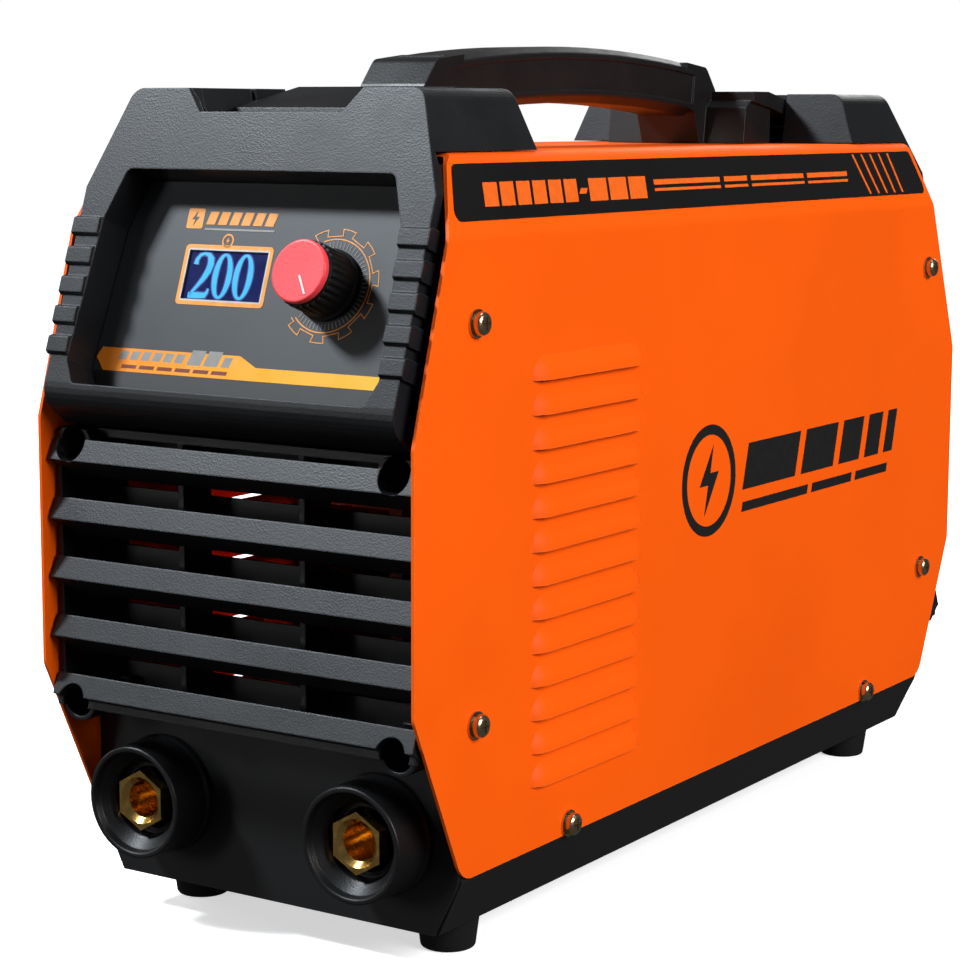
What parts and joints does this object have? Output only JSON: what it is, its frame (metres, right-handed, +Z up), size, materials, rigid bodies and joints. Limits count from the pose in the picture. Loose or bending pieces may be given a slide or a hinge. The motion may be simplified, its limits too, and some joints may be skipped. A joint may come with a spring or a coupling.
{
  "type": "stick welding inverter",
  "caption": "Portable inverter for stick welding: folded steel cover with louvres, plastic hoods, carrying handle, current display with knob, twist-lock output sockets and rear fan.",
  "frame": {"origin": "on the floor under the middle of the case, midway between the front and rear hoods", "axes": "+X to the right side panel, -Y out of the front with the sockets and control panel, +Z up"},
  "size_m": [0.1684, 0.4365, 0.3126],
  "materials": {
    "orange_paint": "satin powder coat",
    "black_paint": "satin powder coat",
    "hood_plastic": "fine moulded grain",
    "handle_plastic": "moulded grain",
    "dark_steel": "black oxide",
    "foot_rubber": "matte",
    "zinc_steel": "bright zinc",
    "yellow_zinc": "yellow passivated zinc",
    "black_vinyl": "gloss film",
    "panel_film": "satin printed film",
    "display_glass": "gloss",
    "circuit_board": "solder mask",
    "knob_black": "satin",
    "knob_red": "satin",
    "socket_plastic": "satin",
    "brass": "machined",
    "fan_plastic": "satin",
    "rocker_red": "gloss",
    "heatsink_aluminium": "extruded",
    "epoxy_black": "moulded epoxy",
    "ferrite": "sintered",
    "copper": "enamelled",
    "capacitor_sleeve": "shrink sleeve"
  },
  "bodies": {
    "case": {"base_pan": "black_paint", "cover_shell": "orange_paint", "front_plate": "black_paint", "rear_plate": "black_paint", "front_bezel": "hood_plastic", "front_grille": "hood_plastic", "rear_bezel": "hood_plastic", "rear_grille": "hood_plastic", "handle": "handle_plastic", "handle_screws": "dark_steel", "rubber_feet": "foot_rubber", "foot_screws": "zinc_steel", "cover_screws": "yellow_zinc", "cover_washers": "yellow_zinc", "front_grille_screws": "dark_steel", "rear_grille_screws": "dark_steel", "side_decals": "black_vinyl", "panel_overlay": "panel_film", "display_lens": "display_glass", "display_module": "circuit_board", "pot_body": "zinc_steel", "pot_nut": "zinc_steel", "control_board": "circuit_board", "control_board_screws": "zinc_steel", "socket_housing_negative": "socket_plastic", "socket_housing_positive": "socket_plastic", "brass_socket_negative": "brass", "brass_socket_positive": "brass", "socket_nuts": "brass", "fan_frame": "fan_plastic", "fan_screws": "zinc_steel", "switch_housing": "socket_plastic", "cable_gland": "socket_plastic", "gland_nut": "socket_plastic", "earth_stud": "yellow_zinc", "earth_nuts": "yellow_zinc", "main_board": "circuit_board", "board_standoffs": "zinc_steel", "heatsinks": "heatsink_aluminium", "power_transistors": "epoxy_black", "transformer_core": "ferrite", "transformer_winding": "copper", "choke_core": "ferrite", "choke_winding": "copper", "bus_capacitors": "capacitor_sleeve", "rectifier_bridge": "epoxy_black", "output_busbars": "copper"},
    "knob": {"knob_body": "knob_black", "knob_cap": "knob_red", "pot_shaft": "zinc_steel"},
    "fan": {"fan_rotor": "fan_plastic"},
    "rocker": {"switch_rocker": "rocker_red"}
  },
  "joints": [
    {"name": "current_knob", "type": "hinge", "parent": "case", "child": "knob", "pos_m": [0.0292, -0.19055, 0.23009], "axis": [0, -0.9436, 0.3312], "range_deg": [0, 300]},
    {"name": "fan_spin", "type": "hinge", "parent": "case", "child": "fan", "pos_m": [0, 0.17, 0.124], "axis": [0, 1, 0], "continuous": true},
    {"name": "power_rocker", "type": "hinge", "parent": "case", "child": "rocker", "pos_m": [0, 0.18892, 0.234], "axis": [1, 0, 0], "range_deg": [0, 16]}
  ]
}
